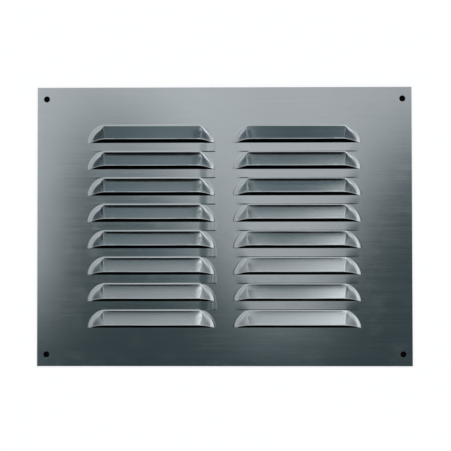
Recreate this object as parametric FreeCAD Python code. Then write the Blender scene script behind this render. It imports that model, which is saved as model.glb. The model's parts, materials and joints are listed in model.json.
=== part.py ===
"""Louvred sheet metal panel: a flat stainless sheet with two columns of pressed louvres and four screw holes.

The panel lies flat. Its back face is on Z = 0, the louvres stand up in +Z and their mouths face -Y.
X runs along the louvres. The origin is the centre of the back face. Sizes are in millimetres and degrees.
"""
import FreeCAD, Part
import math
import os

from FreeCAD import Vector

# The sheet
PANEL_WIDTH = 305.0         # side edge to side edge, along X
PANEL_HEIGHT = 227.0        # bottom edge to top edge, along Y
SHEET_THICKNESS = 1.0

# One screw hole near each corner
HOLE_DIAMETER = 5.0
HOLE_INSET_X = 7.5          # side edge to hole centre
HOLE_INSET_Y = 9.5          # top or bottom edge to hole centre

# The field of louvres, centred on the panel
COLUMNS = 2
ROWS = 8
ROW_PITCH = 21.5
COLUMN_GAP = 16.0           # between the ends of neighbouring louvres

# One louvre: the sheet is lanced along a straight line and pressed up into a hood behind it
LOUVRE_LENGTH = 102.5       # the lanced line
LOUVRE_DEPTH = 14.2         # lanced line to the bend at the back of the hood
HOOD_ANGLE = 33.0           # slope of the hood
END_STEEPER_BY = 7.0        # the rounded ends slope this much more than the hood
END_RADIUS = 16.5           # plan radius of the rounded ends
END_STEP = 0.6              # how far the crown of that radius would pass the bend
LIP_SETBACK = 2.5           # lanced line to the upper edge of the lifted lip, in plan
MOUTH_BOW = 0.4             # how far the cut edge of the ends bows back from straight
VALLEY_RADIUS = 3.0         # bend between sheet and hood, on the front face
RIDGE_RADIUS = 2.5          # ridge between hood and rounded end, on the front face

# Worked out from the sizes above
hood_slope = math.radians(HOOD_ANGLE)
end_slope = math.radians(HOOD_ANGLE + END_STEEPER_BY)
inner_ridge_radius = max(RIDGE_RADIUS - SHEET_THICKNESS, 0.2 * SHEET_THICKNESS)
inner_valley_radius = VALLEY_RADIUS + SHEET_THICKNESS
column_pitch = LOUVRE_LENGTH + COLUMN_GAP
field_height = (ROWS - 1) * ROW_PITCH + LOUVRE_DEPTH
end_centre_y = LOUVRE_DEPTH + END_STEP - END_RADIUS
end_reach = math.sqrt(END_RADIUS ** 2 - min(end_centre_y, 0.0) ** 2)
end_centre_x = LOUVRE_LENGTH / 2 - end_reach
blank_margin = inner_valley_radius                       # flat sheet kept round a hood's outline
blank_half = LOUVRE_LENGTH / 2 + END_RADIUS - end_reach + blank_margin
blank_back = LOUVRE_DEPTH + blank_margin
tool_front = -SHEET_THICKNESS                            # the hood forms start in front of the lance
tool_under = 3 * SHEET_THICKNESS                         # how deep the forms go below their skin


def prism(points, direction):
    """Solid swept from a flat polygon."""
    return Part.Face(Part.makePolygon(points + points[:1])).extrude(direction)


def rounded_outline(inset, skin, rise):
    """Drafted block with round ends, its wall leaning in at the end slope from the height of the skin."""
    radius = END_RADIUS - inset
    rise = min(rise, 0.98 * radius * math.tan(end_slope))
    lean = rise / math.tan(end_slope)
    centres = [Vector(side * end_centre_x, end_centre_y, skin) for side in (-1, 1)]
    ends = [Part.makeCone(radius, radius - lean, rise, centre, Vector(0, 0, 1)) for centre in centres]
    start = centres[0]
    section = [
        start + Vector(0, -radius, 0),
        start + Vector(0, radius, 0),
        start + Vector(0, radius - lean, rise),
        start + Vector(0, lean - radius, rise),
    ]
    middle = prism(section, centres[1] - centres[0])
    return middle.fuse(ends)


def hood_wedge(inset, skin):
    """Everything under the sloping plane of the hood that starts at the bend line."""
    bend = LOUVRE_DEPTH - inset
    rise = (bend - tool_front) * math.tan(hood_slope)
    section = [
        Vector(-blank_half, tool_front, skin),
        Vector(-blank_half, bend, skin),
        Vector(-blank_half, tool_front, skin + rise),
    ]
    return prism(section, Vector(2 * blank_half, 0, 0)), rise


def is_ridge(edge):
    """The curves that climb from the bend to the mouth, where hood and rounded end meet."""
    box = edge.BoundBox
    curved = edge.Curve.TypeId != "Part::GeomLine"
    return curved and box.ZLength > SHEET_THICKNESS and box.YLength > SHEET_THICKNESS


def is_valley(edge, skin):
    """The outline of the hood on the flat sheet."""
    box = edge.BoundBox
    flat = abs(box.ZMin - skin) < 1e-5 and abs(box.ZMax - skin) < 1e-5
    inside = max(abs(box.XMin), abs(box.XMax)) < blank_half - 1e-3 and box.YMax < blank_back - 1e-3
    return flat and inside


def louvre_form(depth_below_front, valley_radius, ridge_radius):
    """Solid that lies under one skin of the pressed sheet: its front face, or its back face one sheet lower.

    A skin that lies deeper by the sheet thickness has its bend lines moved in by thickness * tan(slope / 2).
    """
    skin = SHEET_THICKNESS - depth_below_front
    wedge, rise = hood_wedge(depth_below_front * math.tan(hood_slope / 2), skin)
    outline = rounded_outline(depth_below_front * math.tan(end_slope / 2), skin, rise + SHEET_THICKNESS)
    hood = outline.common(wedge).removeSplitter().Solids[0]
    hood = hood.makeFillet(ridge_radius, [edge for edge in hood.Edges if is_ridge(edge)])
    corner = Vector(-blank_half, tool_front, skin - tool_under)
    bed = Part.makeBox(2 * blank_half, blank_back - tool_front, tool_under, corner)
    solid = bed.fuse(hood).removeSplitter().Solids[0]
    return solid.makeFillet(valley_radius, [edge for edge in solid.Edges if is_valley(edge, skin)])


def mouth_keeper():
    """The space behind the cut edge of the mouth.

    The cut goes straight down through the flat sheet, bows back up the ends and crosses the lip squarely.
    """
    lip_top = Vector(0, LIP_SETBACK, SHEET_THICKNESS + (LOUVRE_DEPTH - LIP_SETBACK) * math.tan(hood_slope))
    across = Vector(0, math.sin(hood_slope), math.cos(hood_slope))
    lip_under = lip_top - across * SHEET_THICKNESS
    above = lip_top + across * LOUVRE_DEPTH
    foot = Vector(0, 0, SHEET_THICKNESS)
    chord = lip_under - foot
    back = Vector(0, chord.z, -chord.y).normalize()
    bow = foot + chord * 0.5 + back * MOUTH_BOW
    below = Vector(0, 0, -tool_under)
    far_below = Vector(0, blank_back + LOUVRE_DEPTH, -tool_under)
    far_above = Vector(0, far_below.y, above.z)
    edges = [
        Part.makeLine(below, foot),
        Part.Arc(foot, bow, lip_under).toShape(),
        Part.makeLine(lip_under, above),
        Part.makeLine(above, far_above),
        Part.makeLine(far_above, far_below),
        Part.makeLine(far_below, below),
    ]
    keeper = Part.Face(Part.Wire(edges)).extrude(Vector(2 * blank_half, 0, 0))
    keeper.translate(Vector(-blank_half, 0, 0))
    return keeper


def pressed_louvre():
    """One louvre with the flat sheet round it, its lanced line on the X axis."""
    front = louvre_form(0.0, VALLEY_RADIUS, RIDGE_RADIUS)
    back = louvre_form(SHEET_THICKNESS, inner_valley_radius, inner_ridge_radius)
    return front.cut(back).common(mouth_keeper())


def louvre_places():
    """Middle of each louvre's lanced line, from the bottom row to the top one."""
    first_x = -(COLUMNS - 1) * column_pitch / 2
    first_y = -field_height / 2
    return [
        Vector(first_x + column * column_pitch, first_y + row * ROW_PITCH, 0)
        for row in range(ROWS)
        for column in range(COLUMNS)
    ]


def louvre_window():
    """The piece of flat sheet that a louvre takes the place of."""
    return Part.makeBox(2 * blank_half, blank_back, SHEET_THICKNESS, Vector(-blank_half, 0, 0))


def screw_holes():
    """Round tools for the four corner holes."""
    reach_x = PANEL_WIDTH / 2 - HOLE_INSET_X
    reach_y = PANEL_HEIGHT / 2 - HOLE_INSET_Y
    return [
        Part.makeCylinder(HOLE_DIAMETER / 2, SHEET_THICKNESS, Vector(side_x * reach_x, side_y * reach_y, 0))
        for side_x in (-1, 1)
        for side_y in (-1, 1)
    ]


def placed(shape, place):
    """A copy of a shape moved to a place."""
    copy = shape.copy()
    copy.translate(place)
    return copy


def louvred_panel():
    """The whole panel as one solid."""
    sheet = Part.makeBox(
        PANEL_WIDTH, PANEL_HEIGHT, SHEET_THICKNESS, Vector(-PANEL_WIDTH / 2, -PANEL_HEIGHT / 2, 0)
    )
    window = louvre_window()
    louvre = pressed_louvre()
    sheet = sheet.cut([placed(window, place) for place in louvre_places()] + screw_holes())
    return sheet.fuse([placed(louvre, place) for place in louvre_places()]).removeSplitter().Solids[0]


panel = louvred_panel()
os.makedirs("parts", exist_ok=True)
panel.exportStep("parts/louvred_panel.step")
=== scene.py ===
"""Stainless louvred panel: the sheet is lanced, pressed and punched, and shown on a plain stage.

Everything is in metres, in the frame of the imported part. The back of the sheet lies on Z = 0, the louvres
stand up in +Z and their mouths face -Y.
"""
import json
import math
import random

import bmesh
import bpy
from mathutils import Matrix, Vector


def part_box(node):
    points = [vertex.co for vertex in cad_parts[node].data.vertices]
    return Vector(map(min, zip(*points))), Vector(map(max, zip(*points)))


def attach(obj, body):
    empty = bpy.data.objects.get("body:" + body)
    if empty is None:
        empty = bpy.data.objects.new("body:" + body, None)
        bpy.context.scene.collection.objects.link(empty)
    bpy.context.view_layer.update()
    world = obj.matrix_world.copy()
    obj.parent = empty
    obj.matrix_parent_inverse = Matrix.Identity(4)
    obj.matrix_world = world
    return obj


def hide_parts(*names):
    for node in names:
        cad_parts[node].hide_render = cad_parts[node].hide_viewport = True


bl_info = {
    "name": "Louvred sheet metal panel",
    "version": (1, 0, 0),
    "blender": (4, 5, 0),
    "location": "3D View > Sidebar > Louvred panel",
    "description": "Presses a satin steel sheet with two columns of louvres and sets it on a plain stage",
    "category": "Add Mesh",
}

NODE = "louvred_panel"
SEED = 8                        # of the chance differences between louvres
CUT_ANGLE = math.radians(50)    # edges sharper than this are cut, not formed
UPRIGHT = 0.3                   # a sheared wall's normal has less Z than this
LIP_TOLERANCE = 0.1             # how far the cut lip's normal may be off square to the hood
CARD_DROP = 0.0001              # how far the black card of painted shade lies under the sheet
AIR_WAY_MIDDLE = 0.0026         # lanced line to the middle of the way that the record keeps open

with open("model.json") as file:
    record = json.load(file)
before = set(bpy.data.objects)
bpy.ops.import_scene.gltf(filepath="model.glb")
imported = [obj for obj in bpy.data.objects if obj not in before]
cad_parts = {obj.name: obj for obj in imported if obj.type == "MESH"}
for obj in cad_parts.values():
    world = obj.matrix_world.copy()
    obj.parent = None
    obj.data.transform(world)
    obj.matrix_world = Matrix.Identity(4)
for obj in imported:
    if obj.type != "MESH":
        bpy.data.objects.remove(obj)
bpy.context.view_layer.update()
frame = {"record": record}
sheet_low, sheet_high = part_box(NODE)
screw_pattern = next(mount for mount in frame["record"]["mounts"] if mount["kind"] == "bolt_pattern")["dims"]
air_ways = [opening["box_m"] for opening in frame["record"]["physics"]["openings"]]
row_starts = sorted({way[0][1] for way in air_ways})
row_pitch = row_starts[1] - row_starts[0]
first_lance = min(way[0][1] + way[1][1] for way in air_ways) / 2 - AIR_WAY_MIDDLE
column_middle = max(way[0][0] + way[1][0] for way in air_ways) / 2


# ---------------------------------------------------------------- sizes and colours

class SheetSizes(bpy.types.PropertyGroup):
    """The flat sheet, its screw holes and its cut edges."""

    width: bpy.props.FloatProperty(
        name="Width", description="Side edge to side edge", unit="LENGTH",
        default=sheet_high.x - sheet_low.x,
    )
    height: bpy.props.FloatProperty(
        name="Height", description="Bottom edge to top edge", unit="LENGTH",
        default=sheet_high.y - sheet_low.y,
    )
    thickness: bpy.props.FloatProperty(
        name="Thickness", description="Gauge of the sheet", unit="LENGTH", default=0.001,
    )
    hole_radius: bpy.props.FloatProperty(
        name="Hole radius", description="Radius of the four screw holes", unit="LENGTH",
        default=screw_pattern["hole_r_mm"] / 1000,
    )
    hole_spacing: bpy.props.FloatVectorProperty(
        name="Hole spacing", description="Distance between the screw holes along and across", unit="LENGTH",
        size=2, default=(screw_pattern["spacing_x_mm"] / 1000, screw_pattern["spacing_y_mm"] / 1000),
    )
    edge_break: bpy.props.FloatProperty(
        name="Edge break", description="Width of the rounding on every cut edge",
        unit="LENGTH", default=0.00008,
    )


class LouvreSizes(bpy.types.PropertyGroup):
    """One pressed louvre. Radii are on the front face."""

    length: bpy.props.FloatProperty(
        name="Length", description="Length of the lanced line", unit="LENGTH", default=0.1025,
    )
    depth: bpy.props.FloatProperty(
        name="Depth", description="Lanced line to the bend at the back", unit="LENGTH", default=0.0142,
    )
    hood_angle: bpy.props.FloatProperty(
        name="Hood angle", description="Slope of the hood", subtype="ANGLE", default=math.radians(33),
    )
    inner_lean: bpy.props.FloatProperty(
        name="Inner lean", description="How much nearer the tip an inner end's ridge is at the mouth",
        unit="LENGTH", default=-0.0004,
    )
    outer_lean: bpy.props.FloatProperty(
        name="Outer lean", description="The same for the ends beside the sheet's side edges", unit="LENGTH",
        default=-0.0018,
    )
    end_radius: bpy.props.FloatProperty(
        name="End radius", description="Plan radius of the rounded ends", unit="LENGTH", default=0.0165,
    )
    end_step: bpy.props.FloatProperty(
        name="End step", description="How far the ends' circle would pass the bend",
        unit="LENGTH", default=0.0006,
    )
    lip_setback: bpy.props.FloatProperty(
        name="Lip setback", description="Lanced line to the lifted lip, in plan",
        unit="LENGTH", default=0.0025,
    )
    mouth_bow: bpy.props.FloatProperty(
        name="Mouth bow", description="How far the ends' cut edge bows back", unit="LENGTH", default=0.0004,
    )
    valley_radius: bpy.props.FloatProperty(
        name="Valley radius", description="Bend between sheet and hood", unit="LENGTH", default=0.003,
    )
    end_valley_radius: bpy.props.FloatProperty(
        name="End valley radius", description="Bend between sheet and rounded end",
        unit="LENGTH", default=0.007,
    )
    ridge_radius: bpy.props.FloatProperty(
        name="Ridge radius", description="Ridge between hood and rounded end", unit="LENGTH", default=0.0025,
    )
    lip_roll: bpy.props.FloatProperty(
        name="Lip roll", description="Width of the rolled top edge that shearing leaves", unit="LENGTH",
        default=0.0006,
    )
    draw_drop: bpy.props.FloatProperty(
        name="Draw drop", description="How far the hood is drawn down where it meets an end", unit="LENGTH",
        default=0.0004,
    )
    draw_reach: bpy.props.FloatProperty(
        name="Draw reach", description="Length of hood that is drawn down", unit="LENGTH", default=0.006,
    )
    crown_steepness: bpy.props.FloatProperty(
        name="Crown steepness", description="Extra slope of a hood just past its bend", default=0.12,
    )
    crown_reach: bpy.props.FloatProperty(
        name="Crown reach", description="Distance past the start of the bend where that slope is greatest",
        unit="LENGTH", default=0.0016,
    )
    bow: bpy.props.FloatProperty(
        name="Bow", description="How much lower a hood is at its ends than in its middle", subtype="FACTOR",
        default=0.03,
    )
    loose_bow: bpy.props.FloatProperty(
        name="Loose bow", description="The same for the right-hand hoods that are struck in full",
        subtype="FACTOR", default=0.09,
    )
    light_strike: bpy.props.FloatProperty(
        name="Light strike", description="How much lower every other right-hand hood is pressed",
        subtype="FACTOR", default=0.07,
    )
    light_crown: bpy.props.FloatProperty(
        name="Light crown", description="Share of the crown that the lightly pressed lower hoods have",
        subtype="FACTOR", default=0.5,
    )
    scatter: bpy.props.FloatProperty(
        name="Scatter", description="Chance difference in height between hoods",
        subtype="FACTOR", default=0.012,
    )


class LightSizes(bpy.types.PropertyGroup):
    """Levels of the light tent's parts, where 1 is a white surface."""

    level: bpy.props.FloatProperty(name="Level", description="Factor on the whole tent", default=1.0)
    cloth: bpy.props.FloatProperty(name="Cloth", description="Bright cloth overhead", default=0.68)
    cloth_left: bpy.props.FloatProperty(
        name="Cloth left", description="What the cloth's left end has more", default=0.10,
    )
    cloth_far: bpy.props.FloatProperty(
        name="Cloth far", description="What the cloth's far side has more", default=0.10,
    )
    sheen: bpy.props.FloatProperty(name="Sheen", description="Soft strip inside the left fold", default=0.16)
    low_glow: bpy.props.FloatProperty(
        name="Low glow", description="First step of the light over the hoods", default=0.16,
    )
    high_glow: bpy.props.FloatProperty(
        name="High glow", description="Second step of the light over the hoods", default=0.26,
    )
    streak: bpy.props.FloatProperty(
        name="Streak", description="Bright streak right of the hoods", default=0.9,
    )
    sides: bpy.props.FloatProperty(name="Sides", description="Side walls", default=0.55)
    right: bpy.props.FloatProperty(name="Right", description="Panel on the right-hand wall", default=0.65)
    near: bpy.props.FloatProperty(name="Near", description="Fill from the -Y side", default=0.40)
    room: bpy.props.FloatProperty(name="Room", description="What comes from everywhere", default=0.02)
    ceiling: bpy.props.FloatProperty(
        name="Ceiling", description="What comes from above as well", default=0.06,
    )
    dim_tint: bpy.props.FloatVectorProperty(
        name="Dim tint", description="Colour of the dim parts", size=3, default=(0.66, 1.0, 1.10),
    )
    bright_tint: bpy.props.FloatVectorProperty(
        name="Bright tint", description="Colour of the bright parts", size=3, default=(1.01, 1.0, 1.02),
    )


class StageSizes(bpy.types.PropertyGroup):
    """Floor, black card of painted shade under the sheet, and camera."""

    floor_colour: bpy.props.FloatVectorProperty(
        name="Floor colour", description="Pale floor", subtype="COLOR", size=3, default=(0.80, 0.80, 0.80),
    )
    floor_glow: bpy.props.FloatProperty(
        name="Floor glow", description="What is added where the floor is looked at, so that it reads white",
        default=0.45,
    )
    floor_size: bpy.props.FloatProperty(
        name="Floor size", description="Side of the floor", unit="LENGTH", default=12.0,
    )
    # the card is black as painted shade, so that the screw holes and the mouths read dark
    card_inset: bpy.props.FloatProperty(
        name="Card inset", description="Black backing card, inside the sheet's edge",
        unit="LENGTH", default=0.004,
    )
    lens: bpy.props.FloatProperty(
        name="Lens", description="Focal length on a 36 mm sensor, in millimetres", default=71.4,
    )
    camera_place: bpy.props.FloatVectorProperty(
        name="Camera place", description="Lens above the middle of the sheet", subtype="TRANSLATION", size=3,
        default=(0.00919, -0.01322, 0.72887),
    )
    camera_turn: bpy.props.FloatVectorProperty(
        name="Camera turn", description="Turn from looking straight down", subtype="EULER", size=3,
        default=(math.radians(1.093), math.radians(0.652), math.radians(-0.06)),
    )


# ---------------------------------------------------------------- the pressed sheet

class LouvreForm:
    """The front face of one louvre, with its lanced line on the X axis and the flat face at height 0.

    It is drawn over by stations, which run round its outline from one tip over the back to the other, and
    rings, which run inwards from the flat sheet to the cut edge of the mouth. Lean moves the ridge's end at the
    mouth towards the tip, and drawn is the share of the draw drop that the hood gets. Turns are angles at the
    centre of a rounded end, up from +X.
    """

    MIDDLE_STATIONS = 9
    END_STATIONS = 16
    VALLEY_RINGS = 7
    SLOPE_RINGS = 3
    RIDGE_RINGS = 6
    HOOD_RINGS = 6
    LIP_RINGS = 4
    RIDGE_SPREAD = 0.35         # width of the ridge's blend, set against a rolled ball of its radius
    FLAT_MARGIN = 0.0005        # ring of flat sheet kept round the bend
    RIDGE_REACH = 0.0009        # half the plan width given to the ridge's rings
    CROWN_MARGIN = 0.02         # turn kept off the crown, where hood and end start together
    PASSES = 4                  # rounds in which a slope or a cut line settles
    KNEE_SHARE = 0.3            # where a middle station gets its denser rings
    FAN_SHARE = 0.7             # part of the lip that belongs to the middle stations
    LAST_LIP_SHARE = 0.9        # where the last station meets the lip, as a share of the ridge's place
    PULL_POWER = 8              # how suddenly the last stations bend onto the cut line

    def __init__(self, sizes, lean, drawn):
        self.sizes = sizes
        self.drawn = drawn
        self.hood_slope = math.tan(sizes.hood_angle)
        self.hood_fold = sizes.valley_radius * math.tan(sizes.hood_angle / 2)
        self.centre_y = sizes.depth + sizes.end_step - sizes.end_radius
        self.centre_x = sizes.length / 2 - math.sqrt(sizes.end_radius ** 2 - self.centre_y ** 2)
        self.back = sizes.depth - self.centre_y
        self.tip_turn = math.asin(-self.centre_y / sizes.end_radius)
        self.crown_turn = math.asin(self.back / sizes.end_radius)
        self.lean_slope = lean / (sizes.depth - sizes.lip_setback)
        crown_x = math.sqrt(sizes.end_radius ** 2 - self.back ** 2)
        self.ridge_foot = crown_x + self.lean_slope * self.back
        self.mouth_turn = math.atan2(sizes.lip_setback - self.centre_y, crown_x + lean)
        self.lip_rise = (sizes.depth - sizes.lip_setback) * self.hood_slope
        self.ring_count = (
            1 + self.VALLEY_RINGS + self.SLOPE_RINGS + self.RIDGE_RINGS + self.HOOD_RINGS + self.LIP_RINGS
        )
        self.station_reach = self.MIDDLE_STATIONS + self.END_STATIONS
        self.draw_start = self.ridge(self.mouth_turn).x - sizes.draw_reach

    @staticmethod
    def bent(along, angle, radius):
        """Height of sheet that is flat, bends and then climbs, at a distance past the start of the bend."""
        if along <= 0:
            return 0.0
        if along < radius * math.sin(angle):
            return radius - math.sqrt(radius ** 2 - along ** 2)
        return (along - radius * math.tan(angle / 2)) * math.tan(angle)

    def ridge_reach(self, turn):
        """Distance from the end's centre to the ridge, seen at a turn."""
        return self.ridge_foot / (math.cos(turn) + self.lean_slope * math.sin(turn))

    def end_bend(self, turn):
        """Slope angle and bend radius of the rounded end at a turn, so that it meets the hood on the ridge."""
        sizes = self.sizes
        turn = min(max(turn, self.mouth_turn), self.crown_turn - self.CROWN_MARGIN)
        share = min((self.crown_turn - turn) / (self.crown_turn - self.mouth_turn), 1.0)
        opened = share ** 2 * (3 - 2 * share)
        radius = sizes.valley_radius + (sizes.end_valley_radius - sizes.valley_radius) * opened
        reach = self.ridge_reach(turn)
        climb = (self.back - reach * math.sin(turn)) * self.hood_slope
        run = sizes.end_radius - reach
        angle = math.atan2(climb, run)
        for _ in range(self.PASSES):
            start = sizes.valley_radius * math.tan(angle / 2)
            angle = math.atan2(climb, run + start - radius * math.tan(angle / 2))
        return angle, radius

    def hood_height(self, y):
        """Height of the straight hood, bend included."""
        sizes = self.sizes
        return self.bent(sizes.depth - y + self.hood_fold, sizes.hood_angle, sizes.valley_radius)

    def height(self, x, y):
        """Height of the front face over a plan point, without the rolled lip."""
        sizes = self.sizes
        aside = max(abs(x) - self.centre_x, 0.0)
        behind = y - self.centre_y
        away = math.hypot(aside, behind)
        hood = self.hood_height(y)
        drawn = max(abs(x) - self.draw_start, 0.0) / sizes.draw_reach
        hood -= self.drawn * sizes.draw_drop * drawn ** 2 * min(hood / sizes.valley_radius, 1.0)
        angle, radius = self.end_bend(math.atan2(behind, aside))
        fold = sizes.valley_radius * math.tan(angle / 2)
        end = self.bent(sizes.end_radius - away + fold, angle, radius)
        slope = math.tan(angle)
        across = slope * aside / away
        along = slope * behind / away - self.hood_slope
        blend = self.RIDGE_SPREAD * sizes.ridge_radius * (across ** 2 + along ** 2)
        blend = min(blend, hood + end)
        if blend <= 0:
            return 0.0
        overlap = max(blend - abs(hood - end), 0.0)
        return min(hood, end) - overlap ** 2 / (4 * blend)

    def crown(self, y, height):
        """Extra height of a convex hood, nothing at the bend and at the lip and fading out down the ends."""
        sizes = self.sizes
        hood = self.hood_height(y)
        if hood <= 0:
            return 0.0
        past = sizes.depth + self.hood_fold - y
        full = sizes.depth + self.hood_fold - sizes.lip_setback
        swell = self.swell(past) - self.swell(full) * min(past / full, 1.0)
        return swell * min(height / hood, 1.0) ** 2

    def swell(self, past):
        """Height gained from the extra slope, at a distance past the start of the bend."""
        sizes = self.sizes
        reaches = past / sizes.crown_reach
        gained = 1 - (1 + reaches) * math.exp(-reaches)
        return sizes.crown_steepness * sizes.crown_reach * math.e * gained

    def mouth_y(self, height):
        """How far back the cut edge stands at a height: a bowed line up to the lip, then the lip."""
        sizes = self.sizes
        share = min(height / self.lip_rise, 1.0)
        return sizes.lip_setback * share + 4 * sizes.mouth_bow * share * (1 - share)

    def rolled(self, x, y, height):
        """Height with the top edge of the cut rolled over."""
        roll = self.sizes.lip_roll
        past = roll - (y - self.mouth_y(height))
        if past <= 0:
            return height
        drop = 0.5 * min(past, roll) ** 2 / roll * self.hood_slope
        return height - drop * min(height / roll, 1.0)

    def ridge(self, turn):
        """Plan point where hood and rounded end meet, seen from the end's centre."""
        reach = self.ridge_reach(turn)
        return Vector((self.centre_x + reach * math.cos(turn), self.centre_y + reach * math.sin(turn)))

    def line(self, station):
        """Outline point, outward direction, knee, lip point and share of the end, of a station at +X."""
        sizes = self.sizes
        centre = Vector((self.centre_x, self.centre_y))
        corner = Vector((self.ridge(self.crown_turn).x, sizes.depth))
        lip_end = self.ridge(self.mouth_turn).x
        fan = self.FAN_SHARE * corner.x
        if station <= self.MIDDLE_STATIONS:
            share = station / self.MIDDLE_STATIONS
            start = Vector((corner.x * share, sizes.depth))
            lip = Vector((fan * share, sizes.lip_setback))
            return start, Vector((0.0, 1.0)), start.lerp(lip, self.KNEE_SHARE), lip, 0.0
        share = (station - self.MIDDLE_STATIONS) / self.END_STATIONS
        turn = self.crown_turn + (self.tip_turn - self.crown_turn) * share
        out = Vector((math.cos(turn), math.sin(turn)))
        start = centre + out * sizes.end_radius
        knee = self.ridge(self.crown_turn + (self.mouth_turn - self.crown_turn) * share)
        lip = Vector((fan + (self.LAST_LIP_SHARE * lip_end - fan) * share, sizes.lip_setback))
        return start, out, knee, lip, share

    def ring_distances(self, knee_distance, total, angle, radius):
        """Distances inwards from the outline of one station's points, denser in the bends."""
        before = self.sizes.valley_radius * math.tan(angle / 2)
        after = radius * math.sin(angle) - before
        valley = [
            -before + (before + after) * ring / (self.VALLEY_RINGS - 1) for ring in range(self.VALLEY_RINGS)
        ]
        middle = max(knee_distance, after + 1.8 * self.RIDGE_REACH)
        ridge = [
            middle + self.RIDGE_REACH * (2 * ring / (self.RIDGE_RINGS - 1) - 1)
            for ring in range(self.RIDGE_RINGS)
        ]
        slope = [
            after + (ridge[0] - after) * ring / (self.SLOPE_RINGS + 1)
            for ring in range(1, self.SLOPE_RINGS + 1)
        ]
        roll = self.sizes.lip_roll
        lip_start = total - roll
        hood = [
            ridge[-1] + (lip_start - ridge[-1]) * (ring + 1) / (self.HOOD_RINGS + 1)
            for ring in range(self.HOOD_RINGS)
        ]
        lip = [lip_start + roll * ring / (self.LIP_RINGS - 1) for ring in range(self.LIP_RINGS)]
        return [-before - self.FLAT_MARGIN] + valley + slope + ridge + hood + lip

    def point(self, station, ring):
        """Point of the front face on a station, counted from the middle, and a ring."""
        side = -1 if station < 0 else 1
        radius = self.sizes.end_radius
        start, out, knee, lip, share = self.line(abs(station))
        angle, bend = self.sizes.hood_angle, self.sizes.valley_radius
        if share > 0:
            angle, bend = self.end_bend(math.atan2(out.y, out.x))
        first, second = (knee - start).length, (lip - knee).length
        distance = self.ring_distances(first, first + second, angle, bend)[ring]
        if distance <= 0:
            plan = start - out * distance
        elif distance <= first:
            plan = start.lerp(knee, distance / first)
        else:
            plan = knee.lerp(lip, (distance - first) / second)
        if share == 1 and distance <= 0:
            plan = Vector((self.centre_x + math.sqrt((radius - distance) ** 2 - self.centre_y ** 2), 0.0))
        x, y = plan
        cut = y
        for _ in range(self.PASSES):
            cut = self.mouth_y(self.height(x, cut))
        pull = share ** self.PULL_POWER * min(max(distance, 0.0) / self.RIDGE_REACH, 1.0)
        y += (cut - y) * pull
        return Vector((side * x, y, self.rolled(x, y, self.height(x, y))))


def press_louvre(sheet, forms, place, lift, bow, crown):
    """Draws one louvre of the front face into the sheet's mesh and returns the two ends of its lanced line.

    Forms are those of its -X and +X halves. Lift scales its height, bow lowers its ends and crown rounds its
    hood.
    """
    reach, rings = forms[0].station_reach, forms[0].ring_count
    half = forms[0].sizes.length / 2
    grid = bmesh.ops.create_grid(sheet, x_segments=2 * reach, y_segments=rings - 1, size=1.0)
    ends = []
    for vert in grid["verts"]:
        station = round(vert.co.x * reach)
        ring = round((1 - vert.co.y) / 2 * (rings - 1))
        form = forms[station > 0]
        point = form.point(station, ring)
        height = point.z * (lift - bow * (point.x / half) ** 2) + crown * form.crown(point.y, point.z)
        vert.co = place + Vector((point.x, point.y, height))
        if abs(station) == reach and ring == 1:
            ends.append(vert)
    return ends


def louvre_lifts(sizes):
    """Height factor, bow and crown of each louvre: every other right-hand one is struck a little lighter."""
    chance = random.Random(SEED)
    lifts = []
    for start, _ in air_ways:
        right = start[0] > 0
        lighter = right and row_starts.index(start[1]) % 2 == 0
        lift = 1 - sizes.light_strike * lighter + sizes.scatter * chance.uniform(-1, 1)
        bow, crown = sizes.loose_bow if right else sizes.bow, 1.0
        if lighter:
            bow = 0.0
            crown = sizes.light_crown if start[1] < 0 else 1.0
        if start[1] == row_starts[-1]:
            crown = 0.0
        lifts.append((lift, bow, crown))
    return lifts


def flat_edges(sheet):
    """Border edges that lie in the flat front face."""
    return [
        edge for edge in sheet.edges
        if edge.is_boundary and all(abs(vert.co.z) < 1e-9 for vert in edge.verts)
    ]


def draw_front_face(sheet, sizes, louvre):
    """The whole front face at height 0: pressed louvres, screw holes and the flat sheet between them."""
    inner, outer = LouvreForm(louvre, louvre.inner_lean, 1.0), LouvreForm(louvre, louvre.outer_lean, 0.0)
    rim = []
    for way, (lift, bow, crown) in zip(air_ways, louvre_lifts(louvre)):
        middle = (Vector(way[0]) + Vector(way[1])) / 2
        lance = Vector((middle.x, middle.y - AIR_WAY_MIDDLE, 0.0))
        forms = (outer, inner) if lance.x < 0 else (inner, outer)
        rim.append(sheet.edges.new(press_louvre(sheet, forms, lance, lift, bow, crown)))
    rim += flat_edges(sheet)
    for side_x in (-1, 1):
        for side_y in (-1, 1):
            centre = Vector((side_x * sizes.hole_spacing[0] / 2, side_y * sizes.hole_spacing[1] / 2, 0.0))
            hole = bmesh.ops.create_circle(sheet, segments=48, radius=sizes.hole_radius)["verts"]
            bmesh.ops.translate(sheet, verts=hole, vec=centre)
            rim += {edge for vert in hole for edge in vert.link_edges}
    outline = bmesh.ops.create_grid(sheet, x_segments=1, y_segments=1, size=0.5)["verts"]
    bmesh.ops.scale(sheet, verts=outline, vec=(sizes.width, sizes.height, 1.0))
    border = {edge for vert in outline for edge in vert.link_edges}
    plain_faces = list({face for vert in outline for face in vert.link_faces})
    bmesh.ops.delete(sheet, geom=plain_faces, context="FACES_ONLY")
    bmesh.ops.triangle_fill(sheet, edges=list(set(rim) | border), use_beauty=True, normal=(0, 0, 1))


def soften_cut_edges(sheet, sizes):
    """Rounds every cut edge a little and leaves the formed surfaces smooth."""
    cut_edges = [edge for edge in sheet.edges if edge.calc_face_angle() > CUT_ANGLE]
    for face in sheet.faces:
        face.smooth = True
    bmesh.ops.bevel(
        sheet, geom=cut_edges, offset=sizes.edge_break, offset_type="OFFSET", segments=2, profile=0.5,
        affect="EDGES", clamp_overlap=True, material=-1,
    )


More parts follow.
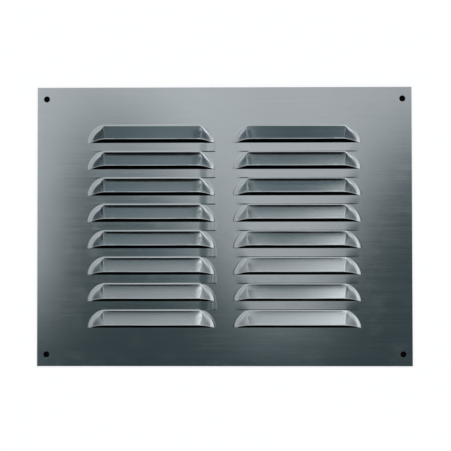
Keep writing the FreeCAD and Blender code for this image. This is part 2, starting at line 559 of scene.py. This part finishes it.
def mark_cut_faces(sheet, louvre):
    """Gives the sheared walls of the outline, the holes and the mouths the second finish: bare steel, lighter
    as a painted highlight.
    """
    lip_cut = LIP_TOLERANCE - math.cos(louvre.hood_angle)
    for face in sheet.faces:
        upright = abs(face.normal.z) < UPRIGHT
        face.material_index = 1 if upright or face.normal.y < lip_cut else 0


def make_sheet_mesh(sizes, louvre):
    """The solid sheet: the front face given its thickness, its cut edges broken."""
    sheet = bmesh.new()
    draw_front_face(sheet, sizes, louvre)
    bmesh.ops.solidify(sheet, geom=sheet.faces[:], thickness=sizes.thickness)
    bmesh.ops.translate(sheet, verts=sheet.verts, vec=(0, 0, sizes.thickness))
    mark_cut_faces(sheet, louvre)
    soften_cut_edges(sheet, sizes)
    mesh = bpy.data.meshes.new(NODE + "_pressed")
    sheet.to_mesh(mesh)
    sheet.free()
    return mesh


class LOUVRED_OT_press_sheet(bpy.types.Operator):
    """Lance, press and punch the sheet, and show it in place of the plain solid"""

    bl_idname = "louvred.press_sheet"
    bl_label = "Press the sheet"

    def execute(self, context):
        scene = context.scene
        mesh = make_sheet_mesh(scene.louvred_sheet, scene.louvred_louvre)
        mesh.materials.append(satin_steel(scene.louvred_finish, scene.louvred_sheet, scene.louvred_louvre))
        # second finish for the sheared walls, lighter as a painted highlight
        mesh.materials.append(sheared_steel(scene.louvred_finish))
        piece = bpy.data.objects.new("pressed_sheet", mesh)
        scene.collection.objects.link(piece)
        weighted = piece.modifiers.new("Flat faces stay flat", "WEIGHTED_NORMAL")
        weighted.weight = 80
        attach(piece, "root")
        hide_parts(NODE)
        return {"FINISHED"}


# ---------------------------------------------------------------- finishes

class Socket:
    """One node output that takes part in sums: an operator on it adds a Math node."""

    def __init__(self, shop, output):
        self.shop = shop
        self.output = output

    def maths(self, operation, *values):
        return self.shop.node("Math", {"operation": operation}, values)

    def __add__(self, other):
        return self.maths("ADD", self, other)

    def __radd__(self, other):
        return self.maths("ADD", other, self)

    def __sub__(self, other):
        return self.maths("SUBTRACT", self, other)

    def __rsub__(self, other):
        return self.maths("SUBTRACT", other, self)

    def __mul__(self, other):
        return self.maths("MULTIPLY", self, other)

    def __rmul__(self, other):
        return self.maths("MULTIPLY", other, self)


class NodeShop:
    """Adds the nodes of one material or world."""

    MIX_FACTOR, MIX_FIRST, MIX_SECOND, MIX_RESULT = 0, 6, 7, 2      # a colour Mix node's sockets

    def __init__(self, owner):
        owner.use_nodes = True
        self.tree = owner.node_tree
        self.tree.nodes.clear()

    def node(self, kind, settings=None, inputs=None, output=0):
        """One node: its settings first, then values or links for its sockets, by name or in order."""
        node = self.tree.nodes.new(f"ShaderNode{kind}")
        for name, value in (settings or {}).items():
            setattr(node, name, value)
        pairs = inputs.items() if isinstance(inputs, dict) else enumerate(inputs or ())
        for key, value in pairs:
            if isinstance(value, Socket):
                self.tree.links.new(value.output, node.inputs[key])
            else:
                node.inputs[key].default_value = value
        return Socket(self, node.outputs[output]) if node.outputs else node

    def object_point(self):
        """Place on the object."""
        return self.node("TexCoord", output="Object")

    def parts(self, vector):
        """X, Y and Z of a vector."""
        split = self.node("SeparateXYZ", {}, {"Vector": vector}).output.node
        return [Socket(self, split.outputs[axis]) for axis in "XYZ"]

    def stretched(self, point, scale):
        """The place, with a number of grains per metre along each axis."""
        return self.node("Mapping", {}, {"Vector": point, "Scale": scale}, "Vector")

    def noise(self, point, detail=2.0, roughness=0.5):
        """Soft noise from 0 to 1 with its grains one unit apart."""
        return self.node(
            "TexNoise", {}, {"Vector": point, "Scale": 1.0, "Detail": detail, "Roughness": roughness}, "Fac"
        )

    def eased(self, value, start, end, low=0.0, high=1.0):
        """Smooth step of a value from low to high."""
        settings = {"interpolation_type": "SMOOTHSTEP"}
        inputs = {"Value": value, "From Min": start, "From Max": end, "To Min": low, "To Max": high}
        return self.node("MapRange", settings, inputs, "Result")

    def blend(self, factor, first, second):
        """Mix of two colours."""
        inputs = {self.MIX_FACTOR: factor, self.MIX_FIRST: first, self.MIX_SECOND: second}
        return self.node("Mix", {"data_type": "RGBA"}, inputs, self.MIX_RESULT)

    def toned(self, colour, tone):
        """A plain colour made lighter or darker by a factor."""
        shade = self.node("CombineColor", {}, {"Red": tone, "Green": tone, "Blue": tone})
        inputs = {self.MIX_FACTOR: 1.0, self.MIX_FIRST: (*colour, 1), self.MIX_SECOND: shade}
        return self.node("Mix", {"data_type": "RGBA", "blend_type": "MULTIPLY"}, inputs, self.MIX_RESULT)


class FinishSizes(bpy.types.PropertyGroup):
    """Colour and surface of the steel."""

    steel: bpy.props.FloatVectorProperty(
        name="Steel", description="Satin face of the sheet", subtype="COLOR", size=3,
        default=(0.43, 0.475, 0.49),
    )
    # lighter than the satin face: partly bare steel, partly a painted highlight on the lips' cut edges
    bare_steel_and_highlight: bpy.props.FloatVectorProperty(
        name="Bare steel", description="Sheared edges", subtype="COLOR", size=3, default=(0.62, 0.65, 0.66),
    )
    roughness: bpy.props.FloatProperty(
        name="Roughness", description="Roughness of the flat satin face", subtype="FACTOR", default=0.13,
    )
    formed_roughness: bpy.props.FloatProperty(
        name="Formed roughness", description="Roughness where the sheet is stretched", subtype="FACTOR",
        default=0.16,
    )
    grain_depth: bpy.props.FloatProperty(
        name="Grain depth", description="Depth of the rolling grain", unit="LENGTH", default=0.000009,
    )
    waviness: bpy.props.FloatProperty(
        name="Waviness", description="Depth of the sheet's slow waves", unit="LENGTH", default=0.00004,
    )
    left_tilt: bpy.props.FloatProperty(
        name="Left tilt", description="Slope of the strips between left-hand louvres", default=0.008,
    )
    right_tilt: bpy.props.FloatProperty(
        name="Right tilt", description="Slope of the strips between right-hand louvres", default=0.026,
    )
    strain_height: bpy.props.FloatProperty(
        name="Strain height", description="Height of the strain marks by the left-hand louvres' inner ends",
        unit="LENGTH", default=0.00018,
    )


def strip_relief(shop, finish, louvre, x, y):
    """Height of what pressing does to the strips between louvres: a slight tilt and strain marks."""
    row = (y - first_lance).maths("WRAP", y - first_lance, row_pitch, 0.0)
    field_end = -first_lance - louvre.depth
    in_field = shop.eased(y, -field_end - 0.0008, -field_end + 0.0002) * shop.eased(
        y, field_end + 0.0003, field_end - 0.0007
    )
    strip = shop.eased(row, louvre.depth - 0.0002, louvre.depth + 0.0008) * in_field
    across = x.maths("ABSOLUTE", x) - column_middle
    along = shop.eased(across.maths("ABSOLUTE", across), 0.051, 0.038)
    tilt = finish.left_tilt + (finish.right_tilt - finish.left_tilt) * shop.eased(x, -0.001, 0.001)
    strain = shop.eased(x, -0.021, -0.013) * shop.eased(x, -0.006, -0.010)
    return (tilt * (row_pitch - row) * along + finish.strain_height * strain) * strip


def satin_steel(finish, sheet, louvre):
    """Satin sheet: a fine grain along X, slow waves from pressing, faint handling marks."""
    material = bpy.data.materials.new("satin_steel")
    shop = NodeShop(material)
    point = shop.object_point()
    x, y, z = shop.parts(point)
    grain = shop.noise(shop.stretched(point, (50, 4000, 4000)), 1.0)
    streaks = shop.noise(shop.stretched(point, (9, 700, 700)), 4.0, 0.6)
    cloud = shop.noise(shop.stretched(point, (22, 30, 30)), 3.0)
    smudge = shop.eased(shop.noise(shop.stretched(point, (45, 60, 60)), 4.0, 0.6), 0.52, 0.72)
    waves = shop.noise(shop.stretched(point, (24, 34, 34)), 1.0)
    formed = shop.eased(z, sheet.thickness + 0.0001, sheet.thickness + 0.0006)
    roughness = finish.roughness - 0.03 + 0.06 * streaks + 0.03 * smudge
    roughness = roughness + (finish.formed_roughness - finish.roughness) * formed
    height = grain * finish.grain_depth + waves * finish.waviness + strip_relief(shop, finish, louvre, x, y)
    shader = shop.node(
        "BsdfPrincipled", {},
        {
            "Base Color": shop.toned(finish.steel, 0.90 + 0.12 * streaks + 0.08 * cloud),
            "Metallic": 1.0,
            "Roughness": roughness,
            "Normal": shop.node("Bump", {}, {"Height": height, "Distance": 1.0, "Strength": 1.0}),
        },
    )
    shop.node("OutputMaterial", {}, {"Surface": shader})
    return material


def sheared_steel(finish):
    """Sheared walls: bare steel with the shear's fine vertical score marks, lighter than the satin face as a
    painted highlight on the lips.
    """
    material = bpy.data.materials.new("sheared_steel")
    shop = NodeShop(material)
    scores = shop.noise(shop.stretched(shop.object_point(), (2600, 2600, 260)), 2.0)
    shader = shop.node(
        "BsdfPrincipled", {},
        {
            # lighter base colour: bare steel and a painted highlight on the lips' cut edges
            "Base Color": shop.toned(finish.bare_steel_and_highlight, 0.85 + 0.25 * scores),
            "Metallic": 1.0,
            "Roughness": 0.35 + 0.15 * scores,
            "Normal": shop.node("Bump", {}, {"Height": scores * 0.00001, "Distance": 1.0, "Strength": 1.0}),
        },
    )
    shop.node("OutputMaterial", {}, {"Surface": shader})
    return material


# ---------------------------------------------------------------- stage

def flat_piece(name, width, height, level, material):
    """A flat stage piece at a level."""
    builder = bmesh.new()
    bmesh.ops.create_grid(builder, x_segments=1, y_segments=1, size=0.5)
    bmesh.ops.scale(builder, verts=builder.verts, vec=(width, height, 1.0))
    bmesh.ops.translate(builder, verts=builder.verts, vec=(0, 0, level))
    mesh = bpy.data.meshes.new(name)
    builder.to_mesh(mesh)
    builder.free()
    mesh.materials.append(material)
    piece = bpy.data.objects.new(name, mesh)
    bpy.context.scene.collection.objects.link(piece)
    return piece


def pale_floor(stage):
    """Pale floor that reads white where it is looked at and keeps the shadow."""
    material = bpy.data.materials.new("pale_floor")
    shop = NodeShop(material)
    rays = shop.node("LightPath").output.node
    camera, glossy, through = (
        Socket(shop, rays.outputs[name]) for name in ("Is Camera Ray", "Is Glossy Ray", "Is Transmission Ray")
    )
    shader = shop.node(
        "BsdfPrincipled", {},
        {
            "Base Color": (*stage.floor_colour, 1),
            "Roughness": 0.9,
            "Emission Color": shop.blend(camera + glossy + through, (0, 0, 0, 1), (1, 1, 1, 1)),
            "Emission Strength": stage.floor_glow,
        },
    )
    shop.node("OutputMaterial", {}, {"Surface": shader})
    return material


def black_card():
    """Matt black card: painted shade, seen through the screw holes and the mouths."""
    material = bpy.data.materials.new("black_card")
    shop = NodeShop(material)
    settings = {"Base Color": (0.004, 0.004, 0.004, 1), "Roughness": 1.0, "Specular IOR Level": 0.0}
    shop.node("OutputMaterial", {}, {"Surface": shop.node("BsdfPrincipled", {}, settings)})
    return material


def cloth_overhead(shop, light, x, y, z):
    """Bright cloth that the flat sheet mirrors. Its near edge stands further back over two folds."""
    left_fold = shop.eased(x, -0.215, -0.175) * shop.eased(x, 0.02, -0.09)
    right_fold = shop.eased(x, 0.07, 0.19)
    edge = y - (-0.07 + 0.20 * left_fold + 0.19 * right_fold)
    cloth = (light.cloth + light.cloth_left * shop.eased(x, -0.18, -0.21)) * shop.eased(edge, -0.07, 0.06)
    cloth = cloth + light.cloth_far * shop.eased(y, 0.0, 0.2) * shop.eased(x, 0.25, 0.15)
    aside = x.maths("ABSOLUTE", x)
    cloth = cloth * (1 - 0.25 * shop.eased(y, 0.22, 0.45)) * (1 - 0.85 * shop.eased(aside, 0.25, 0.45))
    sheen = light.sheen * shop.eased(x, -0.16, -0.06) * shop.eased(x, 0.02, -0.05) * shop.eased(y, -0.06, 0.0)
    return cloth * shop.eased(z, 0.48, 0.72) + sheen


def glow_over_hoods(shop, light, x, y, z):
    """Weaker light low on the +Y side, that the hoods mirror: two steps, and a streak on the right."""
    low = light.low_glow * shop.eased(z, 0.19, 0.32)
    high = light.high_glow * shop.eased(z, 0.41, 0.56) * shop.eased(z, 0.75, 0.56)
    gain = 0.6 * shop.eased(x, -0.05, 0.05) * shop.eased(z, 0.45, 0.53)
    streak = light.streak * shop.eased(x, 0.07, 0.15) * shop.eased(x, 0.65, 0.45)
    streak = streak * shop.eased(z, 0.35, 0.50) * shop.eased(z, 0.75, 0.55)
    return ((low + high) * (1 + gain) + streak) * shop.eased(y, 0.3, 0.65)


def walls_and_room(shop, light, x, y, z):
    """Side walls that the rounded ends mirror, a panel on the right, a fill from -Y and the room."""
    aside = x.maths("ABSOLUTE", x)
    sides = light.sides * shop.eased(aside, 0.25, 0.5) * shop.eased(z, 0.10, 0.38)
    right = light.right * shop.eased(x, 0.22, 0.40) * shop.eased(z, 0.35, 0.55)
    right = right * shop.eased(y, 0.52, 0.16) * shop.eased(y, -0.45, -0.10)
    near = light.near * shop.eased(y, -0.35, -0.75)
    return sides + right + near + light.room + light.ceiling * shop.eased(z, 0.2, 0.6)


def soft_light(light):
    """Light tent: a smooth level for every direction, bluish where dim, and plain white behind the part."""
    world = bpy.data.worlds.new("light_tent")
    bpy.context.scene.world = world
    shop = NodeShop(world)
    direction = shop.parts(shop.node("TexCoord", output="Generated"))
    level = cloth_overhead(shop, light, *direction) + glow_over_hoods(shop, light, *direction)
    level = (level + walls_and_room(shop, light, *direction)) * light.level
    colour = shop.blend(shop.eased(level, 0.05, 0.6), (*light.dim_tint, 1), (*light.bright_tint, 1))
    lit = shop.node("Background", {}, {"Color": colour, "Strength": level})
    white = shop.node("Background", {}, {"Color": (1, 1, 1, 1), "Strength": 1.0})
    mixed = shop.node("MixShader", {}, {0: shop.node("LightPath", output="Is Camera Ray"), 1: lit, 2: white})
    shop.node("OutputWorld", {}, {"Surface": mixed})


def place_camera(stage):
    """Camera over the sheet, looking down."""
    camera_data = bpy.data.cameras.new("camera")
    camera_data.lens = stage.lens
    camera_data.sensor_width = 36
    camera_data.clip_start = 0.01
    camera = bpy.data.objects.new("camera", camera_data)
    camera.location = stage.camera_place
    camera.rotation_euler = stage.camera_turn
    bpy.context.scene.collection.objects.link(camera)
    bpy.context.scene.camera = camera


class LOUVRED_OT_set_stage(bpy.types.Operator):
    """Lay the pale floor and the black card of painted shade behind the mouths, light them softly and place the
    camera
    """

    bl_idname = "louvred.set_stage"
    bl_label = "Set the stage"

    def execute(self, context):
        stage, sheet = context.scene.louvred_stage, context.scene.louvred_sheet
        flat_piece("floor", stage.floor_size, stage.floor_size, -2 * CARD_DROP, pale_floor(stage))
        inset = 2 * stage.card_inset
        # black card under the sheet: painted shade, seen through the holes and the mouths
        flat_piece("backing_card", sheet.width - inset, sheet.height - inset, -CARD_DROP, black_card())
        soft_light(context.scene.louvred_light)
        place_camera(stage)
        context.scene.view_settings.view_transform = "Standard"
        return {"FINISHED"}


class LOUVRED_PT_panel(bpy.types.Panel):
    """Lists the steps and the sizes."""

    bl_idname = "LOUVRED_PT_panel"
    bl_label = "Louvred panel"
    bl_space_type = "VIEW_3D"
    bl_region_type = "UI"
    bl_category = "Louvred panel"

    def draw(self, context):
        for operator, settings in (
            (LOUVRED_OT_press_sheet, ("louvred_sheet", "louvred_louvre", "louvred_finish")),
            (LOUVRED_OT_set_stage, ("louvred_stage", "louvred_light")),
        ):
            self.layout.operator(operator.bl_idname)
            for group in settings:
                values = getattr(context.scene, group)
                for name in values.__annotations__:
                    self.layout.prop(values, name)


GROUPS = {
    "louvred_sheet": SheetSizes,
    "louvred_louvre": LouvreSizes,
    "louvred_finish": FinishSizes,
    "louvred_stage": StageSizes,
    "louvred_light": LightSizes,
}
CLASSES = (*GROUPS.values(), LOUVRED_OT_press_sheet, LOUVRED_OT_set_stage, LOUVRED_PT_panel)


def register():
    for kind in CLASSES:
        bpy.utils.register_class(kind)
    for name, kind in GROUPS.items():
        setattr(bpy.types.Scene, name, bpy.props.PointerProperty(type=kind))


def unregister():
    for name in GROUPS:
        delattr(bpy.types.Scene, name)
    for kind in reversed(CLASSES):
        bpy.utils.unregister_class(kind)


def main():
    """Builds everything in order."""
    register()
    bpy.ops.louvred.press_sheet()
    bpy.ops.louvred.set_stage()


if __name__ == "__main__":
    main()
